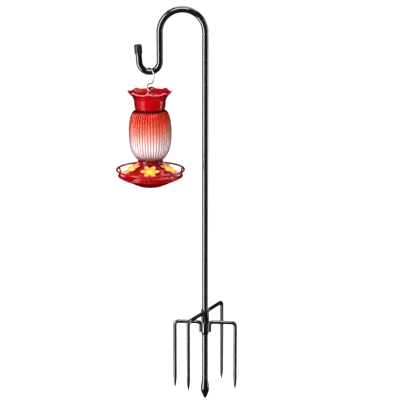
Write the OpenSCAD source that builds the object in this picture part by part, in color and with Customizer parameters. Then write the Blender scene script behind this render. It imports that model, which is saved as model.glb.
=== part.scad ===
// Hummingbird feeder hanging from a garden hook with a five-pointed ground spike.
// Millimetres. +Z is up. The origin is on the pole's axis at ground level.
// The hook reaches towards -X, and the pole stands at X = 0.

/* [Pole] */
// Outside diameter of the pole and hook tubes
tube_d = 15.6; // [12:0.1:20]
// Wall thickness of the tubes
tube_wall = 1.2; // [0.8:0.1:2]
// Height of the pole's top edge above the ground
pole_top_z = 744; // [500:1:1200]

/* [Hook] */
// Radius of the big arch, to the middle of the tube
arch_r = 55.5; // [40:0.5:90]
// Straight length of tube between the arch and the small hook
drop_len = 72; // [40:1:150]
// Radius of the small hook, to the middle of the tube
hook_r = 25; // [22:0.5:40]
// Outward lean of the hook's open end, in degrees
hook_lean = 4.5; // [0:0.5:12]
// Length of the hook's straight open end, to the tip of the cap
hook_end_len = 44; // [30:1:80]
// Length of the necked plug that stands in the pole
plug_len = 38; // [25:1:60]
// Radial step down to the hook tube's neck where it stands on the pole's edge
hook_neck_step = 0.85; // [0.3:0.05:1.2]
// Length of the cone between the full tube and the neck
neck_cone_len = 7; // [4:0.5:12]
// Length of the end cap
cap_len = 22; // [15:1:35]
// Wall of the end cap
cap_wall = 1.8; // [1:0.1:3]

/* [Ground spike] */
// Wall of the bush between the pole and the hub's sleeve
bush_wall = 1.1; // [0.8:0.1:4]
// Wall of the hub's sleeve
sleeve_wall = 1.4; // [1:0.1:3]
// Height of the sleeve's top above the ground
sleeve_top_z = 37; // [30:1:60]
// Depth of the sleeve's bottom below the ground
sleeve_depth = 24; // [15:1:40]
// Depth below the ground at which the pole stands on the spike tube
pole_seat_depth = 4; // [0:1:10]
// Height of the bush's rounded flange
bush_flange_h = 4.5; // [3:0.5:8]
// Depth of the spike's point below the ground
spike_depth = 199; // [150:1:300]
// Length of the spike's cast point, from its shoulder
point_len = 57; // [40:1:80]
// How far the spike's cast point stands out from the tube at its widest
point_flare = 3.4; // [1.5:0.1:6]
// Length of the point's spigot inside the spike tube
spigot_len = 20; // [10:1:35]

/* [Prongs] */
// Diameter of the prong rods
prong_d = 9.8; // [8:0.1:12]
// Distance from the sleeve's side to the middle of the prongs' welded stubs
stub_offset = 1.2; // [0:0.1:4]
// Length of the welded stubs
stub_len = 18; // [12:1:25]
// Radius of the bend next to the hub
inner_bend_r = 8; // [7:0.5:12]
// Radius of the bend above each leg
outer_bend_r = 10; // [8:0.5:20]
// Height of the lower pair's arms
lower_arm_z = 8.5; // [7:0.5:12]
// Height of the upper pair's arms
upper_arm_z = 35; // [32:0.5:45]
// Reach of the left, right, front and back prongs from the pole's axis
prong_reach = [77.5, 77.5, 88, 95];
// Direction of the left, right, front and back prongs, in degrees from +X
prong_turn = [175, -5, 241.5, 62.5];
// Depth of the left, right, front and back prongs' tips below the ground
prong_depth = [173, 173, 149, 179];
// Length of the prongs' pointed ends
prong_point_len = 36; // [20:1:50]

/* [Hanger] */
// Diameter of the S-hook's wire
wire_d = 2.6; // [2:0.1:4]
// Room in the S-hook's upper loop: its radius, less the tube's diameter
s_room = 3.9; // [2.4:0.1:14]
// Radius of the S-hook's lower loop, to the middle of the wire
s_lower_r = 10.5; // [7:0.5:16]
// Turn of the S-hook's plane away from the plane of the hook, in degrees
s_turn = 56; // [54:1:90]
// Diameter of the eye bolt's wire
eye_wire_d = 3; // [2:0.1:4]
// Radius of the eye, to the middle of the wire
eye_r = 6.5; // [5:0.5:9]
// Diameter of the eye bolt's shank
shank_d = 4; // [3:0.1:6]
// Height of the eye's centre above the crown's floor
eye_height = 37.5; // [20:0.5:50]
// Height of the nuts on the eye bolt
nut_h = 3.2; // [2:0.1:5]
// Width of the nuts across their corners
nut_corners = 8.1; // [7:0.1:12]
// Diameter of the steel washers
washer_d = 16; // [10:0.5:24]
// Thickness of the steel washers
washer_t = 1; // [0.6:0.1:2]
// Diameter of the rubber sealing washers
hanger_seal_d = 18; // [12:0.5:26]
// Thickness of the rubber sealing washers
hanger_seal_t = 2; // [1:0.1:3]

/* [Glass] */
// Wall thickness of the glass
glass_wall = 3; // [2:0.1:5]
// How far the crown's rim stands out from its wall
crown_flare = 16; // [8:0.5:30]
// Height of the crown, up to the tops of its ruffles
crown_h = 48.5; // [35:0.5:70]
// How far the crown's wall stands out from the waist
crown_step = 5; // [3:0.5:12]
// Diameter of the waist between the crown and the bottle
waist_d = 68; // [50:1:74]
// Widest diameter of the bottle
bottle_d = 106; // [90:1:130]
// Height of the bottle, from its foot to the waist
bottle_h = 125; // [90:1:180]
// Width of the bottle's foot around its neck
foot_shoulder = 4.1; // [3:0.1:8]
// Outside diameter of the bottle's neck
neck_d = 53.8; // [40:0.2:66]
// Length of the bottle's neck
neck_len = 17; // [12:0.5:25]

/* [Base] */
// Wall of the collar around the bottle's neck
collar_wall = 4.3; // [3.4:0.1:8]
// How far the collar narrows down to the top of the cone
collar_taper = 2.5; // [1:0.1:3]
// Height of the collar above the top of the cone
collar_h = 15; // [9:0.5:20]
// Wall thickness of the red plastic
base_wall = 2.2; // [1.5:0.1:3]
// Slope of the cover's cone, in degrees
cone_slope = 24.5; // [18:0.5:28]
// Height of the cover's upright edge
skirt_h = 4; // [3.5:0.5:10]
// Width of the cone between the flowers' petals and the cover's edge
cover_margin = 9.8; // [2:0.2:30]
// How far the bowl's edge stands out beyond the cover's edge
lip_reach = 6; // [4:0.5:10]
// Height of the bowl's edge above the ledge that carries the seal
lip_h = 2.5; // [2:0.5:5]
// Height of the bowl from its foot to the ledge
bowl_h = 24; // [19:1:41]
// Diameter of the bowl's flat foot
bowl_foot_d = 60; // [40:1:80]
// Thickness of the perch ring's rod
perch_d = 5; // [3:0.5:6]
// How far the perch ring reaches out beyond the bowl's edge
perch_reach = 5; // [3:0.5:12]
// Height of the perch ring's top above the cover's edge
perch_rise = 13; // [8:0.5:20]
// Drop from the cover's edge to the bowl's ledge, taken up by the seal
bowl_seal_t = 2; // [1:0.1:3]
// Thickness of the seal under the bottle's mouth
bottle_seal_t = 2; // [1:0.1:3]

/* [Flowers] */
// Gap between the collar's foot and the flowers' inner petals
flower_gap = 0; // [0:0.5:10]
// Diameter of the flowers, across their petals
flower_d = 46; // [36:1:56]
// Thickness of the petals
petal_t = 1.6; // [1:0.1:3]
// Height of the petals above the cover
petal_lift = 1.6; // [1:0.1:4]
// Outside diameter of the flower's stem
stem_d = 8; // [6:0.1:12]
// Length of the flower's stem inside the cover
stem_len = 8; // [5:0.5:12]
// Diameter of the feeding hole
port_d = 3.2; // [2:0.1:5]

/* [Fits] */
// Radial gap of the parts that slide or turn in each other
run_gap = 0.06; // [0.02:0.01:0.1]
// Gap between faces that rest on each other
rest_gap = 0.1; // [0.02:0.01:0.3]
// Radial gap between the bottle's neck and the collar
thread_gap = 0.3; // [0.1:0.05:0.5]

/* [Hidden] */
$fn = 96;

flower_count = 5;
petal_count = 6;
petal_turn = 180 / petal_count;
point_steps = 4;

tube_r = tube_d / 2;
tube_bore_r = tube_r - tube_wall;
plug_r = tube_bore_r - run_gap;
plug_bore_r = plug_r - tube_wall;
hook_neck_r = tube_r - hook_neck_step;

arch_z = pole_top_z + neck_cone_len;
hook_z = arch_z - drop_len;
drop_x = -2 * arch_r;
feeder_x = drop_x - hook_r;
hook_low_z = hook_z - hook_r;
hook_seat_z = hook_low_z + tube_r;
cap_bore_len = cap_len - cap_wall;
hook_tube_end = hook_end_len - cap_wall - rest_gap;

bush_bore_r = tube_r + run_gap;
bush_r = bush_bore_r + bush_wall;
sleeve_bore_r = bush_r + run_gap;
sleeve_r = sleeve_bore_r + sleeve_wall;
bush_flange_lip = 0.4;
hub_taper = 2;
hub_taper_h = 6;
spike_top_z = -pole_seat_depth;
pole_foot_z = spike_top_z + rest_gap;
bush_foot_z = spike_top_z + rest_gap;
point_shoulder_z = -(spike_depth - point_len);

prong_r = prong_d / 2;
prong_arm_z = [lower_arm_z, lower_arm_z, upper_arm_z, upper_arm_z];
stub_r = sleeve_r + stub_offset;
cope_rise = 30;

wire_r = wire_d / 2;
s_upper_r = tube_d + s_room;
eye_wire_r = eye_wire_d / 2;
s_top_z = hook_seat_z + wire_r + rest_gap;
s_upper_z = s_top_z - s_upper_r;
s_lower_z = s_upper_z - s_upper_r - s_lower_r;
s_low_z = s_lower_z - s_lower_r;
eye_z = s_low_z + wire_r + eye_wire_r + rest_gap - eye_r;

crown_floor_z = eye_z - eye_height;
waist_z = crown_floor_z - glass_wall;
bottle_z = waist_z - bottle_h;
mouth_z = bottle_z - neck_len;
neck_r = neck_d / 2;
neck_bore_r = neck_r - glass_wall;
foot_r = neck_r + foot_shoulder;
bottle_r = bottle_d / 2;
waist_r = waist_d / 2;
waist_round = 2;
crown_wall_r = waist_r + crown_step;
crown_r = crown_wall_r + crown_flare;
crown_lip = 3;
shank_r = shank_d / 2;
hanger_hole_r = shank_r + 0.3;
washer_bore_r = shank_r + 0.2;
shank_tail = 3;

collar_bore_r = neck_r + thread_gap;
collar_r = collar_bore_r + collar_wall;
collar_bead = 1;
collar_bead_h = 6.5;
cone_top_r = collar_r - collar_taper;
cone_round = 1;
collar_top_z = bottle_z - rest_gap;
cone_top_z = collar_top_z - collar_h;
petal_r = flower_d / 2;
petal_reach = petal_r * cos(petal_turn) * cos(cone_slope);
flower_r = cone_top_r + flower_gap + petal_reach;
cover_r = flower_r + petal_reach + cover_margin;
cover_edge_z = cone_top_z - (cover_r - cone_top_r) * tan(cone_slope);
seal_seat_z = mouth_z - rest_gap - bottle_seal_t;
ledge_z = cover_edge_z - skirt_h - bowl_seal_t;
ledge_room = 0.5;
bowl_wall = base_wall + 0.3;
bowl_r = cover_r + lip_reach;
bowl_foot_z = ledge_z - bowl_h;
lip_z = ledge_z + lip_h;
lip_round = 0.8;
lip_step = 1.5;
perch_rod_r = perch_d / 2;
perch_r = bowl_r + perch_reach - perch_rod_r;
perch_z = cover_edge_z + perch_rise - perch_rod_r;
perch_posts = 5;
post_r = 0.85 * perch_rod_r;
flower_z = cone_top_z - (flower_r - cone_top_r) * tan(cone_slope);
stem_r = stem_d / 2;
pad_margin = 5;
pad_r = stem_r + pad_margin;
pad_t = 1.5;

// One point of a smooth curve through b and c, between its neighbours a and d.
function curve_point(a, b, c, d, t) =
  (2 * b + (c - a) * t + (2 * a - 5 * b + 4 * c - d) * t * t + (3 * b - a - 3 * c + d) * t * t * t) / 2;

// A smooth curve through the points of a list, with n steps between them.
function smooth(p, n) = [
  for (i = [0 : len(p) - 2])
    for (j = [0 : n - 1])
      curve_point(p[max(i - 1, 0)], p[i], p[i + 1], p[min(i + 2, len(p) - 1)], j / n),
  p[len(p) - 1]
];

// The outline moved sideways by w, towards the axis where it runs downwards.
function inset(p, w) = [
  for (i = [0 : len(p) - 1])
    let (a = p[max(i - 1, 0)], b = p[min(i + 1, len(p) - 1)], t = (b - a) / norm(b - a))
      p[i] + w * [t.y, -t.x]
];

function reverse(p) = [for (i = [len(p) - 1 : -1 : 0]) p[i]];

// A straight tube or rod from the origin upwards.
module tube(outer_r, inner_r, h) {
  difference() {
    cylinder(r = outer_r, h = h);
    if (inner_r > 0)
      translate([0, 0, -1])
        cylinder(r = inner_r, h = h + 2);
  }
}

// A bent tube or rod in the XZ plane, round the origin, from one angle by a sweep.
module bend(centre_r, outer_r, inner_r, from, sweep) {
  rotate([90, 0, 0])
    rotate([0, 0, from])
      rotate_extrude(angle = sweep)
        translate([centre_r, 0])
          difference() {
            circle(r = outer_r);
            if (inner_r > 0)
              circle(r = inner_r);
          }
}

module hook_tube() {
  color([0.06, 0.06, 0.065]) {
    translate([0, 0, pole_top_z - plug_len])
      tube(plug_r, plug_bore_r, plug_len);
    translate([0, 0, pole_top_z])
      rotate_extrude()
        polygon([
          [plug_bore_r, 0], [plug_r, 0], [plug_r, rest_gap], [hook_neck_r, rest_gap],
          [tube_r, neck_cone_len], [tube_bore_r, neck_cone_len]
        ]);
    translate([-arch_r, 0, arch_z])
      bend(arch_r, tube_r, tube_bore_r, 0, 180);
    translate([drop_x, 0, hook_z])
      tube(tube_r, tube_bore_r, drop_len);
    translate([feeder_x, 0, hook_z])
      bend(hook_r, tube_r, tube_bore_r, 0, hook_lean - 180);
    hook_end_place()
      tube(tube_r, tube_bore_r, hook_tube_end);
  }
}

// Puts its children at the start of the hook's straight open end, with +Z along it.
module hook_end_place() {
  translate([feeder_x, 0, hook_z])
    rotate([0, -hook_lean, 0])
      translate([-hook_r, 0, 0])
        children();
}

module hook_end_cap() {
  cap_r = tube_r + run_gap + cap_wall;
  round_r = 3;
  color([0.05, 0.05, 0.055])
    hook_end_place()
      translate([0, 0, hook_end_len - cap_len])
        rotate_extrude()
          polygon(concat(
            [[0, cap_bore_len], [tube_r + run_gap, cap_bore_len], [tube_r + run_gap, 0], [cap_r, 0]],
            [for (a = [0 : 15 : 90]) [
              cap_r - round_r + round_r * cos(a),
              cap_len - round_r + round_r * sin(a)
            ]],
            [[0, cap_len]]
          ));
}

module pole_tube() {
  color([0.06, 0.06, 0.065])
    translate([0, 0, pole_foot_z])
      tube(tube_r, tube_bore_r, pole_top_z - pole_foot_z);
}

module pole_bush() {
  flange_r = sleeve_r + bush_flange_lip;
  flange_z = sleeve_top_z + rest_gap;
  color([0.05, 0.05, 0.055])
    rotate_extrude()
      polygon(concat(
        [[bush_bore_r, bush_foot_z], [bush_r, bush_foot_z], [bush_r, flange_z]],
        [for (a = [-90 : 15 : 90]) [
          flange_r - bush_flange_h / 2 + bush_flange_h / 2 * cos(a),
          flange_z + bush_flange_h / 2 + bush_flange_h / 2 * sin(a)
        ]],
        [[bush_bore_r, flange_z + bush_flange_h]]
      ));
}

module prong_hub() {
  color([0.06, 0.06, 0.065])
    rotate_extrude()
      polygon([
        [tube_r, -sleeve_depth], [sleeve_r - hub_taper, -sleeve_depth],
        [sleeve_r, hub_taper_h - sleeve_depth], [sleeve_r, sleeve_top_z],
        [sleeve_bore_r, sleeve_top_z], [sleeve_bore_r, spike_top_z],
        [tube_r, spike_top_z]
      ]);
}

module spike_tube() {
  color([0.06, 0.06, 0.065])
    translate([0, 0, point_shoulder_z])
      tube(tube_r, tube_bore_r, spike_top_z - point_shoulder_z);
}

module spike_tip() {
  point_r = tube_r + point_flare;
  wide_z = point_len * 0.5;
  color([0.06, 0.06, 0.065])
    translate([0, 0, -spike_depth])
      rotate_extrude()
        polygon(concat(
          [[0, 0]],
          smooth([
            [point_r * 0.1, 0.3], [point_r * 0.42, wide_z * 0.2], [point_r * 0.68, wide_z * 0.42],
            [point_r * 0.9, wide_z * 0.72], [point_r, wide_z], [point_r * 0.97, wide_z * 1.15],
            [tube_r + point_flare * 0.4, point_len * 0.8], [tube_r, point_len]
          ], point_steps),
          [[plug_r, point_len], [plug_r, point_len + spigot_len], [0, point_len + spigot_len]]
        ));
}

// The rounded point of a prong, from its tip at the origin upwards.
module prong_point() {
  rotate_extrude()
    polygon(concat(
      [[0, 0]],
      smooth([
        [prong_r * 0.08, 0.2], [prong_r * 0.4, prong_point_len * 0.18],
        [prong_r * 0.68, prong_point_len * 0.4], [prong_r * 0.9, prong_point_len * 0.7],
        [prong_r, prong_point_len]
      ], point_steps),
      [[0, prong_point_len]]
    ));
}

// A rod welded to the hub's side: a stub, an arm that runs outwards, and a pointed leg.
module prong(i) {
  arm_z = prong_arm_z[i];
  reach = prong_reach[i];
  leg_top = arm_z - outer_bend_r;
  leg_end = -prong_depth[i] + prong_point_len;
  arm_start = stub_r + inner_bend_r;
  arm_end = reach - outer_bend_r;
  color([0.06, 0.06, 0.065])
    rotate([0, 0, prong_turn[i]])
      difference() {
        union() {
          translate([stub_r, 0, arm_z - inner_bend_r - stub_len])
            cylinder(r = prong_r, h = stub_len);
          translate([arm_start, 0, arm_z - inner_bend_r])
            bend(inner_bend_r, prong_r, 0, 90, 90);
          translate([arm_start, 0, arm_z])
            rotate([0, 90, 0])
              cylinder(r = prong_r, h = arm_end - arm_start);
          translate([arm_end, 0, arm_z - outer_bend_r])
            bend(outer_bend_r, prong_r, 0, 0, 90);
          translate([reach, 0, leg_end])
            cylinder(r = prong_r, h = leg_top - leg_end);
          translate([reach, 0, leg_end - prong_point_len])
            prong_point();
        }
        translate([0, 0, -sleeve_depth - 1])
          cylinder(r = sleeve_r, h = sleeve_top_z + sleeve_depth + cope_rise);
      }
}

module prong_left() {
  prong(0);
}

module prong_right() {
  prong(1);
}

module prong_front() {
  prong(2);
}

module prong_back() {
  prong(3);
}

module s_hook() {
  color([0.75, 0.75, 0.77])
    translate([feeder_x, 0, 0])
      rotate([0, 0, -s_turn]) {
        translate([0, 0, s_upper_z]) {
          bend(s_upper_r, wire_r, 0, -90, 270);
          translate([-s_upper_r, 0, 0])
            sphere(r = wire_r, $fn = 48);
        }
        translate([0, 0, s_lower_z]) {
          bend(s_lower_r, wire_r, 0, 90, 270);
          translate([s_lower_r, 0, 0])
            sphere(r = wire_r, $fn = 48);
        }
      }
}

module eye_bolt() {
  shank_low_z = hanger_down[2] - shank_tail;
  color([0.75, 0.75, 0.77])
    translate([feeder_x, 0, 0])
      rotate([0, 0, 90 - s_turn]) {
        translate([0, 0, eye_z])
          rotate([90, 0, 0])
            rotate_extrude()
              translate([eye_r, 0])
                circle(r = eye_wire_r);
        translate([0, 0, shank_low_z])
          cylinder(r = shank_r, h = eye_z - eye_r - shank_low_z);
      }
}

// A flat ring on the feeder's axis.
module ring(d, bore_r, z, h) {
  translate([feeder_x, 0, z])
    difference() {
      cylinder(d = d, h = h);
      translate([0, 0, -1])
        cylinder(r = bore_r, h = h + 2);
    }
}

// Heights of the faces that the hanger's pieces lie on, above and below the glass.
hanger_up = [crown_floor_z, crown_floor_z + hanger_seal_t, crown_floor_z + hanger_seal_t + washer_t];
hanger_down = [
  waist_z - glass_wall - hanger_seal_t, waist_z - glass_wall - hanger_seal_t - washer_t,
  waist_z - glass_wall - hanger_seal_t - washer_t - nut_h
];

module hanger_nuts() {
  color([0.72, 0.72, 0.74])
    for (z = [hanger_up[2], hanger_down[2]])
      translate([feeder_x, 0, z])
        difference() {
          cylinder(d = nut_corners, h = nut_h, $fn = 6);
          translate([0, 0, -1])
            cylinder(r = shank_r, h = nut_h + 2);
        }
}

module hanger_washers() {
  color([0.75, 0.75, 0.77])
    for (z = [hanger_up[1], hanger_down[1]])
      ring(washer_d, washer_bore_r, z, washer_t);
}

module hanger_seals() {
  color([0.1, 0.1, 0.1])
    for (z = [hanger_up[0], hanger_down[0]])
      ring(hanger_seal_d, shank_r, z, hanger_seal_t);
}

module glass_crown() {
  outer = smooth([
    [crown_r, crown_h - crown_lip], [crown_wall_r + crown_flare * 0.62, crown_h - 3 * crown_lip],
    [crown_wall_r + crown_flare * 0.16, crown_h * 0.58],
    [crown_wall_r, crown_h * 0.36], [crown_wall_r - crown_step * 0.2, crown_h * 0.16],
    [crown_wall_r - crown_step * 0.7, crown_h * 0.05], [waist_r - waist_round, 0]
  ], 3);
  inner = reverse(inset(outer, glass_wall));
  inner_side = [for (p = inner) if (p.y > glass_wall + 1) p];
  color([0.72, 0.02, 0.05])
    translate([feeder_x, 0, waist_z])
      rotate_extrude()
        polygon(concat(
          [[hanger_hole_r, 0], [hanger_hole_r, glass_wall]],
          [[inner_side[0].x - waist_round, glass_wall]],
          inner_side, [[crown_r - glass_wall, crown_h], [crown_r, crown_h]], outer
        ));
}

module glass_bottle() {
  r = bottle_r;
  top_r = waist_r - waist_round;
  outer = smooth([
    [top_r, bottle_h], [top_r + (r - top_r) * 0.47, bottle_h * 0.972],
    [top_r + (r - top_r) * 0.8, bottle_h * 0.86],
    [r * 0.99, bottle_h * 0.7], [r, bottle_h * 0.54], [r * 0.975, bottle_h * 0.35],
    [foot_r + (r - foot_r) * 0.71, bottle_h * 0.18],
    [foot_r + (r - foot_r) * 0.33, bottle_h * 0.06], [foot_r, 0]
  ], 3);
  inner = [for (p = inset(outer, glass_wall)) if (p.y < bottle_h - glass_wall && p.y > glass_wall) p];
  color([0.95, 0.45, 0.42, 0.7])
    translate([feeder_x, 0, bottle_z])
      rotate_extrude()
        polygon(concat(
          [[hanger_hole_r, bottle_h - glass_wall], [hanger_hole_r, bottle_h]], outer,
          [[neck_r, 0], [neck_r, -neck_len], [neck_bore_r, -neck_len], [neck_bore_r, 0]],
          reverse(inner), [[inner[0].x - glass_wall, bottle_h - glass_wall]]
        ));
}

module bottle_seal() {
  color([0.9, 0.9, 0.88])
    ring(2 * (collar_bore_r - thread_gap), neck_bore_r, seal_seat_z, bottle_seal_t);
}

// Puts its children at one flower's place on the cover, with +Z square to the cone.
module flower_place(i) {
  translate([feeder_x, 0, 0])
    rotate([0, 0, -90 + i * 360 / flower_count])
      translate([flower_r, 0, flower_z])
        rotate([0, cone_slope, 0])
          children();
}

module base_cover() {
  under = base_wall / cos(cone_slope);
  bead_z = collar_top_z - collar_bead_h;
  color([0.8, 0.02, 0.05])
    difference() {
      union() {
        translate([feeder_x, 0, 0])
          rotate_extrude()
            polygon([
              [collar_bore_r, collar_top_z], [collar_r - collar_bead, collar_top_z],
              [collar_r, collar_top_z - 1.5 * collar_bead], [collar_r, bead_z + 1.5 * collar_bead],
              [collar_r - collar_bead, bead_z], [cone_top_r, cone_top_z + 2 * cone_round],
              [cone_top_r + cone_round, cone_top_z - cone_round / 2],
              [cover_r - cone_round, cover_edge_z], [cover_r, cover_edge_z - cone_round],
              [cover_r, cover_edge_z - skirt_h], [cover_r - base_wall, cover_edge_z - skirt_h],
              [cover_r - base_wall, cover_edge_z - under + cone_round],
              [cone_top_r + cone_round, cone_top_z - cone_round / 2 - under],
              [collar_bore_r + base_wall, seal_seat_z - base_wall],
              [neck_bore_r, seal_seat_z - base_wall], [neck_bore_r, seal_seat_z],
              [collar_bore_r, seal_seat_z]
            ]);
        for (i = [0 : flower_count - 1])
          flower_place(i)
            translate([0, 0, -pad_t])
              cylinder(r = pad_r, h = pad_t);
      }
      for (i = [0 : flower_count - 1])
        flower_place(i)
          translate([0, 0, -stem_len])
            cylinder(r = stem_r + run_gap, h = 2 * stem_len);
    }
}

module bowl_seal() {
  color([0.9, 0.9, 0.88])
    ring(2 * cover_r, cover_r - base_wall - cone_round, ledge_z, bowl_seal_t - rest_gap);
}

module base_bowl() {
  belly = smooth([
    [bowl_r - lip_step, bowl_h], [bowl_r * 0.892, bowl_h * 0.8], [bowl_r * 0.711, bowl_h * 0.54],
    [bowl_r * 0.52, bowl_h * 0.22], [bowl_foot_d / 2, 0]
  ], 4);
  ledge_inner_r = cover_r - base_wall - 2 * cone_round;
  ledge_outer_r = cover_r + ledge_room;
  hollow = [for (p = inset(belly, bowl_wall)) if (p.x < ledge_inner_r && p.y > bowl_wall) p];
  lip = [
    [ledge_inner_r, bowl_h], [ledge_outer_r, bowl_h], [ledge_outer_r, bowl_h + lip_h - lip_round],
    [ledge_outer_r + lip_round, bowl_h + lip_h], [bowl_r - lip_round, bowl_h + lip_h],
    [bowl_r, bowl_h + lip_h - lip_round], [bowl_r, bowl_h + lip_round]
  ];
  color([0.85, 0.02, 0.05])
    translate([feeder_x, 0, bowl_foot_z])
      rotate_extrude()
        polygon(concat([[0, 0], [0, bowl_wall]], reverse(hollow), lip, belly));
}

// A ring of rod on posts that stand on the bowl's edge, between the flowers.
module perch_ring() {
  post_foot_r = (cover_r + ledge_room + bowl_r) / 2;
  post_lean = atan2(perch_r - post_foot_r, perch_z - lip_z);
  post_len = norm([perch_r - post_foot_r, perch_z - lip_z]);
  color([0.85, 0.02, 0.05])
    translate([feeder_x, 0, lip_z])
      difference() {
        union() {
          translate([0, 0, perch_z - lip_z])
            rotate_extrude()
              translate([perch_r, 0])
                circle(r = perch_rod_r);
          for (i = [0 : perch_posts - 1])
            rotate([0, 0, -90 + (i + 0.5) * 360 / perch_posts])
              translate([post_foot_r, 0, 0])
                rotate([0, post_lean, 0])
                  translate([0, 0, -perch_d])
                    cylinder(r = post_r, h = post_len + perch_d);
        }
        translate([0, 0, -2 * perch_d])
          cylinder(r = 2 * bowl_r, h = 2 * perch_d);
      }
}

// A flower with six pointed petals and a hollow stem that plugs into the cover.
module flower(i) {
  color([0.98, 0.75, 0.15])
    flower_place(i)
      difference() {
        union() {
          translate([0, 0, petal_lift])
            linear_extrude(petal_t)
              for (k = [0 : petal_count - 1])
                rotate((2 * k + 1) * petal_turn)
                  polygon([
                    [0, 0], [petal_r * 0.28, -petal_r * 0.24], [petal_r * 0.55, -petal_r * 0.25],
                    [petal_r, 0], [petal_r * 0.55, petal_r * 0.25], [petal_r * 0.28, petal_r * 0.24]
                  ]);
          translate([0, 0, rest_gap])
            cylinder(r = pad_r - 1, h = petal_lift + petal_t - rest_gap);
          translate([0, 0, -stem_len])
            cylinder(r = stem_r, h = stem_len + 1);
        }
        translate([0, 0, -stem_len - 1])
          cylinder(r = port_d / 2, h = stem_len + petal_lift + petal_t + 2);
      }
}

module flower_1() {
  flower(0);
}

module flower_2() {
  flower(1);
}

module flower_3() {
  flower(2);
}

module flower_4() {
  flower(3);
}

module flower_5() {
  flower(4);
}

hook_tube();
hook_end_cap();
pole_tube();
pole_bush();
prong_hub();
spike_tube();
spike_tip();
prong_left();
prong_right();
prong_front();
prong_back();
s_hook();
eye_bolt();
hanger_nuts();
hanger_washers();
hanger_seals();
glass_crown();
glass_bottle();
bottle_seal();
base_cover();
bowl_seal();
base_bowl();
perch_ring();
flower_1();
flower_2();
flower_3();
flower_4();
flower_5();
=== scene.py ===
"""Nectar feeder on a black garden hook: the visual model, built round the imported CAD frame."""

import math

import bpy
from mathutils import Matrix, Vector


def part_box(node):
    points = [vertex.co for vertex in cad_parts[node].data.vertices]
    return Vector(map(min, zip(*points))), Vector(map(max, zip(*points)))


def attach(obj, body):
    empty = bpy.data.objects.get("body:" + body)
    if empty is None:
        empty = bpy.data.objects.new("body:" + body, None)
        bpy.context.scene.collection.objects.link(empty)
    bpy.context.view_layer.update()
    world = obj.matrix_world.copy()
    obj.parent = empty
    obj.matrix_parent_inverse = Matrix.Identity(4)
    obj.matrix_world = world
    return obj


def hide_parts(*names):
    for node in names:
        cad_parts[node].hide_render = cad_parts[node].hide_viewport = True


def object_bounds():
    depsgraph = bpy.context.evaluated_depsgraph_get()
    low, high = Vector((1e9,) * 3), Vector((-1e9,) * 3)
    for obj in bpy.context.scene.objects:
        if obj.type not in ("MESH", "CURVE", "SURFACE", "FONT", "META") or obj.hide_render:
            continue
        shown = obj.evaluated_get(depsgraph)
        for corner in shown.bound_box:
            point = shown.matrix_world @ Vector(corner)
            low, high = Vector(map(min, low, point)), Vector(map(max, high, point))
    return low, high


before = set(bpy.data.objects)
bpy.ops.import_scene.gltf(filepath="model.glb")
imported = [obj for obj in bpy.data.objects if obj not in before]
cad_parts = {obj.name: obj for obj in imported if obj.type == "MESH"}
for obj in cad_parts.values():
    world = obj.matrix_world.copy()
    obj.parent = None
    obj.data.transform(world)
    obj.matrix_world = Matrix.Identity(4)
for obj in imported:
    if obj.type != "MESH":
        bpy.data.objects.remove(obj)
cad_low, cad_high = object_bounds()

MM = 0.001
TURN = 2 * math.pi


# ---------------------------------------------------------------- camera

CAMERA_AIM = Vector((-0.0129, 0.0, 0.330))
CAMERA_PITCH = math.radians(14.5)
CAMERA_DISTANCE = 3.70
CAMERA_LENS = 133.2
SENSOR_WIDTH = 36


def make_camera():
    camera = bpy.data.objects.new("camera", bpy.data.cameras.new("camera"))
    bpy.context.scene.collection.objects.link(camera)
    back = Vector((0, -math.cos(CAMERA_PITCH), math.sin(CAMERA_PITCH)))
    camera.location = CAMERA_AIM + back * CAMERA_DISTANCE
    camera.rotation_euler = (math.pi / 2 - CAMERA_PITCH, 0, 0)
    camera.data.lens = CAMERA_LENS
    camera.data.sensor_width = SENSOR_WIDTH
    bpy.context.scene.camera = camera


# ---------------------------------------------------------------- studio

WORLD_STRENGTH = 0.7
SUN_ENERGY = 1.7
SUN_ANGLE = math.radians(60)
SUN_TILT = (math.radians(-18), math.radians(10), 0)
SOFTBOX_AIM = (-0.07, 0, 0.35)
SOFTBOXES = [
    # name, place, width and height in metres, watts
    ("softbox_left", (-2.1, -1.45, 0.35), 1.2, 4.2, 140),
    ("softbox_right", (2.6, 0.3, 0.4), 0.8, 3.4, 42),
    ("softbox_top", (-0.3, -1.5, 2.4), 1.6, 0.9, 36),
]
FLOOR_HALF = 30
FLOOR_DROP = 0.5 * MM


def make_area_light(name, place, width, height, power):
    data = bpy.data.lights.new(name, "AREA")
    data.shape = "RECTANGLE"
    data.size = width
    data.size_y = height
    data.energy = power
    light = bpy.data.objects.new(name, data)
    light.location = place
    light.rotation_euler = (Vector(SOFTBOX_AIM) - Vector(place)).to_track_quat("-Z", "Y").to_euler()
    bpy.context.scene.collection.objects.link(light)


def make_studio():
    bpy.context.scene.view_settings.view_transform = "Standard"
    world = bpy.data.worlds.new("studio")
    world.use_nodes = True
    background = world.node_tree.nodes["Background"]
    background.inputs["Color"].default_value = (1, 1, 1, 1)
    background.inputs["Strength"].default_value = WORLD_STRENGTH
    world.cycles_visibility.glossy = False
    bpy.context.scene.world = world

    sun = bpy.data.objects.new("overhead", bpy.data.lights.new("overhead", "SUN"))
    sun.data.energy = SUN_ENERGY
    sun.data.angle = SUN_ANGLE
    sun.rotation_euler = SUN_TILT
    bpy.context.scene.collection.objects.link(sun)

    for softbox in SOFTBOXES:
        make_area_light(*softbox)

    floor = bpy.data.objects.new("floor", bpy.data.meshes.new("floor"))
    height = cad_low.z - FLOOR_DROP
    corners = [(x * FLOOR_HALF, y * FLOOR_HALF, height) for x, y in ((-1, -1), (1, -1), (1, 1), (-1, 1))]
    floor.data.from_pydata(corners, [], [(0, 1, 2, 3)])
    floor.data.materials.append(floor_material())
    bpy.context.scene.collection.objects.link(floor)
    floor.visible_glossy = False


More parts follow.
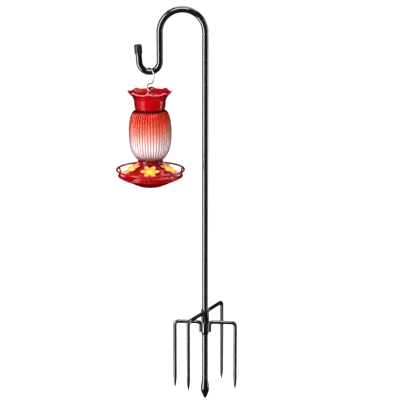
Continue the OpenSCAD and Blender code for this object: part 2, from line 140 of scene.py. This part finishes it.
# ---------------------------------------------------------------- materials

# The Mix node's sockets when it mixes colours.
MIX_A, MIX_B, MIX_RESULT = 6, 7, 2


def new_material(name, colour, roughness, **sockets):
    """A Principled material with constant values set on its own sockets."""
    material = bpy.data.materials.new(name)
    material.use_nodes = True
    shader = material.node_tree.nodes["Principled BSDF"]
    shader.inputs["Base Color"].default_value = (*colour, 1)
    shader.inputs["Roughness"].default_value = roughness
    for socket, value in sockets.items():
        shader.inputs[socket.replace("_", " ")].default_value = value
    return material


def add_node(material, kind, **values):
    node = material.node_tree.nodes.new(kind)
    for name, value in values.items():
        if name in node.inputs.keys():
            node.inputs[name].default_value = value
        else:
            setattr(node, name, value)
    return node


def shader_of(material):
    return material.node_tree.nodes["Principled BSDF"]


def link(material, source, output, target, socket):
    material.node_tree.links.new(source.outputs[output], target.inputs[socket])


def add_noise(material, scale, detail, stretch=(1, 1, 1)):
    """Noise in the piece's own metres, so its grain has a real size."""
    place = add_node(material, "ShaderNodeTexCoord")
    mapping = add_node(material, "ShaderNodeMapping")
    mapping.inputs["Scale"].default_value = stretch
    noise = add_node(material, "ShaderNodeTexNoise", Scale=scale, Detail=detail)
    link(material, place, "Object", mapping, "Vector")
    link(material, mapping, "Vector", noise, "Vector")
    return noise


def add_bump(material, source, output, strength, depth):
    bump = add_node(material, "ShaderNodeBump", Strength=strength, Distance=depth)
    link(material, source, output, bump, "Height")
    link(material, bump, "Normal", shader_of(material), "Normal")


def vary_roughness(material, noise, low, high):
    spread = add_node(material, "ShaderNodeMapRange")
    spread.inputs["From Min"].default_value = 0.3
    spread.inputs["From Max"].default_value = 0.7
    spread.inputs["To Min"].default_value = low
    spread.inputs["To Max"].default_value = high
    link(material, noise, "Fac", spread, "Value")
    link(material, spread, "Result", shader_of(material), "Roughness")


def add_ramp(material, stops):
    ramp = add_node(material, "ShaderNodeValToRGB")
    elements = ramp.color_ramp.elements
    while len(elements) < len(stops):
        elements.new(0.5)
    for element, (position, colour) in zip(elements, stops):
        element.position = position
        element.color = (*colour, 1)
    return ramp


def vary_colour(material, noise, dark, light):
    ramp = add_ramp(material, [(0.3, dark), (0.7, light)])
    link(material, noise, "Fac", ramp, "Fac")
    link(material, ramp, "Color", shader_of(material), "Base Color")
    return ramp


def floor_material():
    material = new_material("studio_floor", (0.9, 0.9, 0.9), 0.9)
    noise = add_noise(material, 3, 2)
    vary_colour(material, noise, (0.89, 0.89, 0.89), (0.91, 0.91, 0.91))
    return material


def enamel_material():
    """Gloss black stoved enamel: nearly black, with a faint orange-peel skin."""
    material = new_material(
        "black_enamel", (0.004, 0.004, 0.005), 0.12,
        Specular_IOR_Level=1.0, Coat_Weight=1.0, Coat_Roughness=0.1,
    )
    patches = add_noise(material, 60, 3)
    vary_roughness(material, patches, 0.09, 0.16)
    vary_colour(material, patches, (0.003, 0.003, 0.0035), (0.007, 0.007, 0.008))
    peel = add_noise(material, 900, 2)
    add_bump(material, peel, "Fac", 0.06, 0.1 * MM)
    return material


def black_plastic_material():
    material = new_material("black_plastic", (0.01, 0.01, 0.011), 0.3, Specular_IOR_Level=0.4)
    patches = add_noise(material, 120, 3)
    vary_roughness(material, patches, 0.26, 0.36)
    vary_colour(material, patches, (0.006, 0.006, 0.007), (0.013, 0.013, 0.014))
    grain = add_noise(material, 1600, 2)
    add_bump(material, grain, "Fac", 0.15, 0.1 * MM)
    return material


def wire_material():
    """Bright drawn wire, with faint lines along it."""
    material = new_material("bright_wire", (0.8, 0.8, 0.82), 0.16, Metallic=1.0)
    lines = add_noise(material, 700, 2, (1, 1, 0.15))
    vary_roughness(material, lines, 0.1, 0.26)
    vary_colour(material, lines, (0.36, 0.36, 0.38), (0.55, 0.55, 0.57))
    add_bump(material, lines, "Fac", 0.1, 0.05 * MM)
    return material


def zinc_material():
    material = new_material("zinc_steel", (0.6, 0.61, 0.63), 0.3, Metallic=1.0)
    spangle = add_noise(material, 260, 3)
    vary_roughness(material, spangle, 0.24, 0.4)
    vary_colour(material, spangle, (0.5, 0.51, 0.53), (0.68, 0.69, 0.7))
    add_bump(material, spangle, "Fac", 0.1, 0.05 * MM)
    return material


def rubber_material(name, dark, light):
    material = new_material(name, light, 0.7, Specular_IOR_Level=0.3)
    grain = add_noise(material, 500, 3)
    vary_roughness(material, grain, 0.6, 0.8)
    vary_colour(material, grain, dark, light)
    add_bump(material, grain, "Fac", 0.2, 0.1 * MM)
    return material


def turned_away(material, start, full, least=0.0):
    """A grey that grows to white as the surface turns away from the eye."""
    facing = add_node(material, "ShaderNodeLayerWeight", Blend=0.5)
    grey = add_ramp(material, [(start, (least, least, least)), (full, (1, 1, 1))])
    link(material, facing, "Facing", grey, "Fac")
    return grey


def multiply(material, grey, attribute):
    product = add_node(material, "ShaderNodeMath", operation="MULTIPLY")
    link(material, grey, "Color", product, 0)
    link(material, attribute, "Fac", product, 1)
    return product


def paint_edge_shade(material, source, start, full, dark):
    """Paints shade onto a Mix node's colour where the surface turns away from the eye.
    It depends on the view, so a bake can't keep it."""
    edge = turned_away(material, start, full)
    mix = mix_colour(material, "MIX", edge, "Color", (1, 1, 1), dark)
    link(material, source, MIX_RESULT, mix, MIX_A)
    link(material, mix, MIX_RESULT, shader_of(material), "Base Color")
    return mix


def red_plastic_material():
    """High-gloss red, with painted shade that darkens it in the collar under the bottle and where it turns
    away, and a painted pale glare on the flat cone.
    The last two depend on the view, so a bake can't keep them."""
    material = new_material(
        "red_plastic", (0.5, 0.0, 0.012), 0.16,
        Specular_IOR_Level=0.3, Coat_Weight=0.08, Coat_Roughness=0.06,
    )
    cloud = add_noise(material, 25, 2)
    vary_roughness(material, cloud, 0.08, 0.16)
    body = vary_colour(material, cloud, (0.28, 0.0, 0.001), (0.35, 0.0, 0.001))
    # Painted shade: the collar under the bottle is darker.
    collar_shade = add_node(material, "ShaderNodeAttribute", attribute_name="collar_shade")
    shaded = mix_colour(material, "MIX", collar_shade, "Fac", body, (0.17, 0.0, 0.002))
    # Painted shade: darker where the surface turns away from the eye.
    edge_shaded = paint_edge_shade(material, shaded, 0.5, 0.95, (0.05, 0.0, 0.001))
    # Painted glare: a pale reflection on the flat cone, stronger as it turns away.
    cone_glare_mask = add_node(material, "ShaderNodeAttribute", attribute_name="cone")
    amount = multiply(material, turned_away(material, 0.55, 0.8), cone_glare_mask)
    glare = mix_colour(material, "MIX", amount, "Value", (1, 1, 1), (0.95, 0.80, 0.78))
    link(material, edge_shaded, MIX_RESULT, glare, MIX_A)
    link(material, glare, MIX_RESULT, shader_of(material), "Base Color")
    flow = add_noise(material, 70, 1)
    add_bump(material, flow, "Fac", 0.05, 0.3 * MM)
    return material


def height_ramp(material, low, high, stops):
    """A colour that changes with height between two levels."""
    place = add_node(material, "ShaderNodeTexCoord")
    split = add_node(material, "ShaderNodeSeparateXYZ")
    spread = add_node(material, "ShaderNodeMapRange")
    spread.inputs["From Min"].default_value = low
    spread.inputs["From Max"].default_value = high
    ramp = add_ramp(material, stops)
    link(material, place, "Object", split, "Vector")
    link(material, split, "Z", spread, "Value")
    link(material, spread, "Result", ramp, "Fac")
    return ramp


def mix_colour(material, blend, factor_node, factor_output, first, second):
    """Mixes two colours, each a plain colour or the first output of a node."""
    mix = add_node(material, "ShaderNodeMix")
    mix.data_type = "RGBA"
    mix.blend_type = blend
    link(material, factor_node, factor_output, mix, "Factor")
    for value, socket in ((first, MIX_A), (second, MIX_B)):
        if isinstance(value, tuple):
            mix.inputs[socket].default_value = (*value, 1)
        else:
            link(material, value, 0, mix, socket)
    return mix


def crown_material(low, high):
    """Deep red, nearly opaque glass, with a painted pink highlight along the rim and painted shade that
    darkens it towards the foot and where it turns away.
    """
    material = new_material(
        "red_glass", (0.5, 0.0, 0.012), 0.16, Transmission_Weight=0.03, IOR=1.45, Specular_IOR_Level=0.1
    )
    # Painted shade: darker towards the foot, where the crown meets the bottle.
    ramp = height_ramp(material, low, high, [
        (0.0, (0.14, 0.0, 0.001)), (0.15, (0.26, 0.0, 0.001)),
        (0.6, (0.30, 0.0, 0.001)), (1.0, (0.33, 0.001, 0.004)),
    ])
    # Painted highlight: a pale pink line along the rim.
    edge = add_node(material, "ShaderNodeAttribute", attribute_name="rim")
    mix = mix_colour(material, "MIX", edge, "Fac", ramp, (0.72, 0.12, 0.14))
    # Painted shade: darker where the surface turns away from the eye.
    paint_edge_shade(material, mix, 0.3, 0.85, (0.07, 0.0, 0.001))
    ripple = add_noise(material, 45, 2)
    add_bump(material, ripple, "Fac", 0.08, 0.5 * MM)
    return material


def bottle_material(low, high):
    """Ribbed, half opaque glass: dark red at the foot, pale above it and orange-red at the shoulder, with
    painted shade in the ribs' valleys and where it turns away.
    """
    material = new_material(
        "shaded_glass", (1, 1, 1), 0.06,
        Transmission_Weight=0.5, IOR=1.45, Specular_IOR_Level=0.3,
    )
    ramp = height_ramp(material, low, high, [
        (0.00, (0.42, 0.02, 0.03)), (0.05, (0.62, 0.12, 0.14)), (0.12, (0.97, 0.86, 0.89)),
        (0.30, (0.97, 0.84, 0.87)), (0.45, (0.94, 0.52, 0.47)), (0.62, (0.86, 0.20, 0.12)),
        (0.82, (0.78, 0.035, 0.006)), (1.00, (0.70, 0.012, 0.002)),
    ])
    # Painted shade: the ribs' valleys are darker, more so towards the sides.
    valley = add_node(material, "ShaderNodeAttribute", attribute_name="valley")
    depth = multiply(material, turned_away(material, 0.12, 0.5, 0.3), valley)
    groove = mix_colour(material, "MULTIPLY", depth, "Value", ramp, (0.22, 0.10, 0.11))
    # Painted shade: darker where the surface turns away from the eye.
    paint_edge_shade(material, groove, 0.14, 0.70, (0.05, 0.006, 0.008))
    seeds = add_noise(material, 120, 2)
    add_bump(material, seeds, "Fac", 0.01, 0.3 * MM)
    return material


def petal_material():
    """Moulded petals: pale yellow heart, golden petals, cream-pink tips."""
    material = new_material("flower_plastic", (0.95, 0.6, 0.05), 0.35, Coat_Weight=0.2, Coat_Roughness=0.15)
    reach = add_node(material, "ShaderNodeAttribute", attribute_name="reach")
    ramp = add_ramp(material, [
        (0.0, (0.80, 0.62, 0.14)), (0.3, (0.86, 0.50, 0.05)), (0.55, (0.84, 0.34, 0.02)),
        (0.78, (0.86, 0.40, 0.10)), (0.92, (0.88, 0.46, 0.30)), (1.0, (0.90, 0.52, 0.40)),
    ])
    link(material, reach, "Fac", ramp, "Fac")
    crease = add_node(material, "ShaderNodeAttribute", attribute_name="crease")
    mix = mix_colour(material, "MIX", crease, "Fac", ramp, (0.62, 0.15, 0.005))
    link(material, mix, MIX_RESULT, shader_of(material), "Base Color")
    grain = add_noise(material, 400, 2)
    vary_roughness(material, grain, 0.3, 0.45)
    add_bump(material, grain, "Fac", 0.08, 0.1 * MM)
    return material


# ---------------------------------------------------------------- mesh helpers

def arc(centre, radius, start, end, steps):
    """Points of a round stretch of an outline, angles in degrees."""
    angles = [math.radians(start + (end - start) * i / steps) for i in range(steps + 1)]
    return [(centre[0] + radius * math.cos(a), centre[1] + radius * math.sin(a)) for a in angles]


def smooth_line(points, steps):
    """A smooth curve through the points, with a number of steps between them."""
    curve = []
    last = len(points) - 1
    for i in range(last):
        a, b, c, d = (Vector(points[min(max(k, 0), last)]) for k in (i - 1, i, i + 1, i + 2))
        for j in range(steps):
            t = j / steps
            bend = 2 * a - 5 * b + 4 * c - d
            twist = 3 * b - a - 3 * c + d
            curve.append(tuple((2 * b + (c - a) * t + bend * t ** 2 + twist * t ** 3) / 2))
    curve.append(tuple(points[last]))
    return curve


def inset_line(points, depth):
    """The outline moved square to itself, to the left of its direction."""
    moved = []
    last = len(points) - 1
    for i, point in enumerate(points):
        along = (Vector(points[min(i + 1, last)]) - Vector(points[max(i - 1, 0)])).normalized()
        moved.append((point[0] - along.y * depth, point[1] + along.x * depth))
    return moved


def make_object(name, vertices, faces, material, sharp_angle):
    mesh = bpy.data.meshes.new(name)
    mesh.from_pydata(vertices, [], faces)
    mesh.validate()
    mesh.materials.append(material)
    piece = bpy.data.objects.new(name, mesh)
    bpy.context.scene.collection.objects.link(piece)
    for polygon in mesh.polygons:
        polygon.use_smooth = True
    mesh.set_sharp_from_angle(angle=math.radians(sharp_angle))
    return piece


def set_attribute(piece, name, values):
    piece.data.attributes.new(name, "FLOAT", "POINT").data.foreach_set("value", values)


def lathe(name, outline, steps, material, sharp_angle, shape=None):
    """A closed outline of (radius, height) points turned round the feeder's axis.
    shape(angle, radius, height, index) moves a point and returns its new radius and height."""
    vertices = []
    for step in range(steps):
        angle = TURN * step / steps
        for index, (radius, height) in enumerate(outline):
            if shape:
                radius, height = shape(angle, radius, height, index)
            x = FEEDER_AXIS[0] + radius * math.cos(angle)
            y = FEEDER_AXIS[1] + radius * math.sin(angle)
            vertices.append((x, y, height))
    count = len(outline)
    faces = []
    for step in range(steps):
        here = step * count
        there = (step + 1) % steps * count
        for index in range(count):
            following = (index + 1) % count
            faces.append((here + index, here + following, there + following, there + index))
    return make_object(name, vertices, faces, material, sharp_angle)


# ---------------------------------------------------------------- places taken from the frame

def middle(low, high):
    return (low + high) / 2


crown_low, crown_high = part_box("glass_crown")
bottle_low, bottle_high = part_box("glass_bottle")
cover_low, cover_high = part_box("base_cover")
bowl_low, bowl_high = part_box("base_bowl")
FEEDER_AXIS = (middle(bottle_low.x, bottle_high.x), middle(bottle_low.y, bottle_high.y))

GLASS_WALL = 3.0 * MM
BOLT_HOLE_R = 2.4 * MM


# ---------------------------------------------------------------- crown

RUFFLES = 8
RUFFLE_PHASE = 0.35
RUFFLE_OUT = 1.5 * MM
RUFFLE_UP = 2.5 * MM
CROWN_STEPS = 320
CROWN_EDGE_POINTS = 6


def make_crown():
    foot = crown_low.z
    height = crown_high.z - foot
    rim_r = (crown_high.x - crown_low.x) / 2 - 1.6 * MM
    outer = smooth_line([
        (31.5 * MM, 0.0), (35.5 * MM, 1.2 * MM), (37.6 * MM, 5.0 * MM), (38.6 * MM, 11 * MM),
        (39.0 * MM, 18 * MM), (39.8 * MM, 25 * MM), (42.0 * MM, 31 * MM), (45.4 * MM, 36 * MM),
        (49.6 * MM, 40.2 * MM), (rim_r, height - 4.6 * MM),
    ], 5)
    inner = [p for p in inset_line(outer, GLASS_WALL) if p[1] > GLASS_WALL + 1.5 * MM and p[0] > 20 * MM]
    tip = Vector(outer[-1])
    inner_tip = Vector(inner[-1])
    centre = (tip + inner_tip) / 2
    start = math.degrees(math.atan2(tip.y - centre.y, tip.x - centre.x))
    edge = arc(centre, (tip - inner_tip).length / 2, start, start + 180, CROWN_EDGE_POINTS)[1:-1]
    floor = [(33 * MM, GLASS_WALL), (BOLT_HOLE_R, GLASS_WALL), (BOLT_HOLE_R, 0.0)]
    outline = outer + edge + inner[::-1] + floor
    outline = [(r, foot + z) for r, z in outline]
    top = max(z for r, z in outline)
    flare_start = foot + 24 * MM

    def ruffle(angle, radius, height, index):
        share = max(0.0, (height - flare_start) / (top - flare_start))
        if radius < 36 * MM:
            return radius, height
        phase = RUFFLES * angle + RUFFLE_PHASE
        wave = math.cos(phase)
        sharper = 0.75 * wave + 0.25 * math.cos(2 * phase)
        return radius + RUFFLE_OUT * share ** 1.5 * wave, height + RUFFLE_UP * share ** 2 * sharper

    material = crown_material(foot, crown_high.z)
    piece = lathe("ruffled_crown", outline, CROWN_STEPS, material, 60, ruffle)
    # Mask for the painted highlight along the rim.
    rim = range(len(outer), len(outer) + len(edge))
    rim_highlight_mask = [1.0 if index in rim else 0.0 for index in range(len(outline))]
    set_attribute(piece, "rim", rim_highlight_mask * CROWN_STEPS)
    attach(piece, "feeder")
    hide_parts("glass_crown")


# ---------------------------------------------------------------- bottle

RIBS = 44
RIB_DEPTH = 1.8 * MM
STEPS_PER_RIB = 8
NECK_R = 26.9 * MM


def make_bottle():
    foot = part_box("base_cover")[1].z
    height = bottle_high.z - foot
    widest = (bottle_high.x - bottle_low.x) / 2
    outer = smooth_line([
        (32 * MM, height), (widest * 0.80, height * 0.968), (widest * 0.92, height * 0.86),
        (widest * 0.985, height * 0.70), (widest, height * 0.54), (widest * 0.975, height * 0.35),
        (widest * 0.88, height * 0.18), (widest * 0.72, height * 0.06), (31 * MM, 0.2 * MM),
    ], 9)
    inner = [p for p in inset_line(outer[::-1], GLASS_WALL) if GLASS_WALL < p[1] < height - GLASS_WALL]
    mouth = bottle_low.z - foot
    bore = NECK_R - GLASS_WALL
    top = [(BOLT_HOLE_R, height - GLASS_WALL), (BOLT_HOLE_R, height)]
    neck = [
        (NECK_R, 0.2 * MM), (NECK_R, mouth + 1 * MM), (NECK_R - 1 * MM, mouth), (bore, mouth), (bore, 1 * MM),
    ]
    outline = top + outer + neck + inner + [(inner[-1][0] - 4 * MM, height - GLASS_WALL)]
    outline = [(r, foot + z) for r, z in outline]
    ribbed = range(len(top), len(top) + len(outer))

    def rib(angle, radius, level, index):
        if index not in ribbed:
            return radius, level
        share = (index - ribbed[0]) / (len(ribbed) - 1)
        strength = min(1.0, 6 * share, 8 * (1 - share))
        valley = 1 - abs(math.cos(RIBS * angle / 2)) ** 0.8
        return radius - RIB_DEPTH * strength * valley, level

    material = bottle_material(foot, bottle_high.z)
    steps = RIBS * STEPS_PER_RIB
    piece = lathe("ribbed_bottle", outline, steps, material, 80, rib)
    # Valley depth, the mask for the painted shade in the ribs.
    depth = [1 - abs(math.cos(RIBS * TURN * step / steps / 2)) for step in range(steps)]
    valley = [depth[step] if i in ribbed else 0.0 for step in range(steps) for i in range(len(outline))]
    set_attribute(piece, "valley", valley)
    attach(piece, "feeder")
    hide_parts("glass_bottle")


# ---------------------------------------------------------------- base

COVER_STEPS = 192
DISH_STEPS = 224
SEAL_GAP = 0.05 * MM


def make_cover(material):
    top = cover_high.z
    edge_r = (cover_high.x - cover_low.x) / 2
    edge_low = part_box("bowl_seal")[1].z + 0.1 * MM
    edge_z = edge_low + 4 * MM
    wall = 2.2 * MM
    slope = math.radians(24.5)
    collar_r = 31.5 * MM
    bore = 27.2 * MM
    cone_r = 29 * MM
    cone_z = edge_z + (edge_r - cone_r) * math.tan(slope)
    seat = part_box("bottle_seal")[0].z
    mouth_r = 23.9 * MM
    bead_r = 1.0 * MM
    outline = [(bore, top)]
    outline += arc((collar_r - bead_r, top - bead_r), bead_r, 90, 0, 5)
    outline += [(collar_r, top - 4.2 * MM)]
    outline += arc((collar_r - 0.2 * MM, top - 5.6 * MM), 1.2 * MM, 70, -70, 6)
    outline += smooth_line([
        (collar_r - 0.6 * MM, top - 7.4 * MM), (collar_r - 1.9 * MM, cone_z + 3.6 * MM),
        (cone_r + 0.8 * MM, cone_z + 1.0 * MM), (cone_r + 4 * MM, cone_z - 4 * MM * math.tan(slope)),
    ], 4)
    outline += [(edge_r - 2 * MM, edge_z + 2 * MM * math.tan(slope))]
    outline += arc((edge_r - 1.2 * MM, edge_z - 1.0 * MM), 1.2 * MM, 66, 0, 4)
    outline += [(edge_r, edge_low), (edge_r - wall, edge_low), (edge_r - wall, edge_z - wall)]
    outline += [(cone_r + 1 * MM, cone_z - wall / math.cos(slope)), (bore + wall, seat - wall)]
    outline += [(mouth_r, seat - wall), (mouth_r, seat), (bore, seat)]
    piece = lathe("cover_shell", outline, COVER_STEPS, material, 35)
    # Mask for the painted glare on the flat cone.
    cone_glare_mask = [1.0 if cone_r + 3 * MM < r and z > edge_z - 0.5 * MM else 0.0 for r, z in outline]
    # Mask for the painted shade in the collar under the bottle.
    collar_shade_mask = [1.0 if r < cone_r + 2 * MM or z > cone_z else 0.0 for r, z in outline]
    set_attribute(piece, "cone", cone_glare_mask * COVER_STEPS)
    set_attribute(piece, "collar_shade", collar_shade_mask * COVER_STEPS)
    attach(piece, "base")
    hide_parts("base_cover")
    return cone_r, cone_z, slope


def make_bowl(material):
    foot = bowl_low.z
    height = bowl_high.z - foot
    edge_r = (bowl_high.x - bowl_low.x) / 2
    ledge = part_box("bowl_seal")[0].z - foot - SEAL_GAP
    inner_r = edge_r - 5.5 * MM
    wall = 2.5 * MM
    round_r = 0.9 * MM
    belly = smooth_line([
        (30 * MM, 0.0), (edge_r * 0.52, ledge * 0.22), (edge_r * 0.711, ledge * 0.54),
        (edge_r * 0.892, ledge * 0.80), (edge_r - 1.6 * MM, ledge),
    ], 10)
    foot_ring = [(0.5 * MM, 1.0 * MM), (24 * MM, 1.0 * MM), (25 * MM, 0.0)]
    lip = arc((edge_r - round_r, ledge + 1.2 * MM), round_r, -60, 0, 4)
    lip += arc((edge_r - round_r, height - round_r), round_r, 0, 90, 5)
    lip += arc((inner_r + round_r, height - round_r), round_r, 90, 180, 5)
    hollow = [p for p in inset_line(belly, wall) if p[0] < 70 * MM and p[1] > wall]
    seat = [(inner_r, ledge), (71 * MM, ledge)]
    outline = foot_ring + belly + lip + seat + hollow[::-1] + [(0.5 * MM, wall)]
    outline = [(r, foot + z) for r, z in outline]
    piece = lathe("dish_shell", outline, DISH_STEPS, material, 35)
    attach(piece, "bowl")
    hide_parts("base_bowl")


# ---------------------------------------------------------------- flowers

FLOWERS = 5
PETALS = 6
FLOWER_RADIUS = 23 * MM
FLOWER_DISTANCE = 47.1 * MM
STEPS_PER_PETAL = 24
PETAL_RINGS = 16
PETAL_THICKNESS = 1.3 * MM
HEART_STEPS = 72
STAMENS = 12


def flower_frame(index, cone_r, cone_z, slope):
    """Origin and axes of one flower: down the slope, across it, and square to it."""
    angle = math.radians(-90 + index * 360 / FLOWERS)
    out = Vector((math.cos(angle), math.sin(angle), 0))
    across = Vector((-math.sin(angle), math.cos(angle), 0))
    up = Vector((0, 0, 1))
    down_slope = out * math.cos(slope) - up * math.sin(slope)
    square = out * math.sin(slope) + up * math.cos(slope)
    height = cone_z - (FLOWER_DISTANCE - cone_r) * math.tan(slope)
    origin = Vector((*FEEDER_AXIS, height)) + out * FLOWER_DISTANCE
    return origin, down_slope, across, square


def petal_point(angle, share):
    """Radius, height and crease of the petals' upper face at an angle and a share of the way out."""
    width = math.pi / PETALS
    side = abs((angle + width) % (2 * width) - width) / width
    reach = FLOWER_RADIUS * (1 - 0.50 * side ** 1.6)
    radius = reach * share
    out = radius / FLOWER_RADIUS
    ridge = math.exp(-(side / 0.16) ** 2) * 0.5 * MM * min(1.0, 3 * share * (1.05 - share))
    cup = 1.5 * MM * side ** 2 * out + 2.6 * MM * out ** 2.2
    groove = max(0.0, (side - 0.72) / 0.28) * (1 - 0.4 * share)
    return radius, 2.2 * MM + cup - ridge, groove, out


def make_flower(index, place, material):
    origin, down_slope, across, square = place
    around = STEPS_PER_PETAL * PETALS
    rings = PETAL_RINGS
    inner_share = 0.12
    vertices, reach, crease = [], [], []
    for layer, drop in ((0, 0.0), (1, PETAL_THICKNESS)):
        for ring in range(rings + 1):
            share = inner_share + (1 - inner_share) * ring / rings
            for step in range(around):
                angle = TURN * step / around
                radius, height, groove, out = petal_point(angle + math.pi / PETALS, share)
                edge = 1 - 0.35 * layer * (ring == rings)
                flat = down_slope * math.cos(angle) + across * math.sin(angle)
                shrink = 1 - 0.015 * layer
                vertices.append(origin + flat * radius * shrink + square * (height - drop * edge))
                reach.append(out)
                crease.append(groove * (0.35 + 0.65 * (ring > 1)))
    per_layer = (rings + 1) * around
    faces = []
    for ring in range(rings):
        for step in range(around):
            following = (step + 1) % around
            a, b = ring * around + step, ring * around + following
            c, d = a + around, b + around
            faces.append((a, c, d, b))
            faces.append((per_layer + a, per_layer + b, per_layer + d, per_layer + c))
    for ring in (0, rings):
        for step in range(around):
            following = (step + 1) % around
            a, b = ring * around + step, ring * around + following
            quad = (a, b, per_layer + b, per_layer + a)
            faces.append(quad if ring == 0 else quad[::-1])
    piece = make_object(f"petals_{index + 1}", vertices, faces, material, 50)
    set_attribute(piece, "reach", reach)
    set_attribute(piece, "crease", crease)

    heart = flower_heart(index, place, material)
    body = f"flower_{index + 1}"
    for part in (piece, heart):
        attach(part, body)
    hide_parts(body)


def flower_heart(index, place, material):
    """The flower's raised heart with its feeding hole, a ring of small stamens, and the stem."""
    origin, down_slope, across, square = place
    hole = 1.6 * MM
    outline = [
        (hole, -8 * MM), (4.0 * MM, -8 * MM), (4.0 * MM, -0.2 * MM), (8 * MM, 0.1 * MM), (8 * MM, 1.6 * MM),
    ]
    outline += smooth_line([
        (7.4 * MM, 2.4 * MM), (6.2 * MM, 3.3 * MM), (4.6 * MM, 4.3 * MM), (3.0 * MM, 4.9 * MM),
    ], 4)
    outline += arc((2.5 * MM, 4.4 * MM), 0.6 * MM, 60, 180, 4)
    outline += [(hole, 3.6 * MM)]
    vertices, reach = [], []
    for step in range(HEART_STEPS):
        angle = TURN * step / HEART_STEPS
        flat = down_slope * math.cos(angle) + across * math.sin(angle)
        for radius, height in outline:
            in_ring = 3.5 * MM < radius < 7.0 * MM and height > 2.5 * MM
            bump = 0.45 * MM * math.cos(STAMENS * angle) if in_ring else 0
            vertices.append(origin + flat * radius + square * (height + bump))
            reach.append(0.05 if radius < 5 * MM else 0.2)
    count = len(outline)
    faces = []
    for step in range(HEART_STEPS):
        here, there = step * count, (step + 1) % HEART_STEPS * count
        for i in range(count):
            j = (i + 1) % count
            faces.append((here + i, here + j, there + j, there + i))
    heart = make_object(f"heart_{index + 1}", vertices, faces, material, 50)
    set_attribute(heart, "reach", reach)
    set_attribute(heart, "crease", [0.0] * len(vertices))
    return heart


# ---------------------------------------------------------------- put it together

CAD_FINISHES = {
    "hook_tube": "enamel", "pole_tube": "enamel", "prong_hub": "enamel", "spike_tube": "enamel",
    "spike_tip": "enamel", "prong_left": "enamel", "prong_right": "enamel", "prong_front": "enamel",
    "prong_back": "enamel", "hook_end_cap": "plastic", "pole_bush": "plastic", "s_hook": "wire",
    "eye_bolt": "zinc", "hanger_nuts": "zinc", "hanger_washers": "zinc", "hanger_seals": "rubber",
    "bottle_seal": "silicone", "bowl_seal": "silicone", "perch_ring": "red",
}


def finish_cad_nodes(red):
    finishes = {
        "red": red,
        "enamel": enamel_material(),
        "plastic": black_plastic_material(),
        "wire": wire_material(),
        "zinc": zinc_material(),
        "rubber": rubber_material("black_rubber", (0.015, 0.015, 0.015), (0.03, 0.03, 0.03)),
        "silicone": rubber_material("pale_silicone", (0.7, 0.7, 0.66), (0.82, 0.82, 0.78)),
    }
    for node, finish in CAD_FINISHES.items():
        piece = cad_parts[node]
        for material_slot in piece.material_slots:
            material_slot.material = finishes[finish]


make_camera()
make_studio()
red_plastic = red_plastic_material()
finish_cad_nodes(red_plastic)
make_crown()
make_bottle()
cone = make_cover(red_plastic)
make_bowl(red_plastic)
petals = petal_material()
for number in range(FLOWERS):
    make_flower(number, flower_frame(number, *cone), petals)
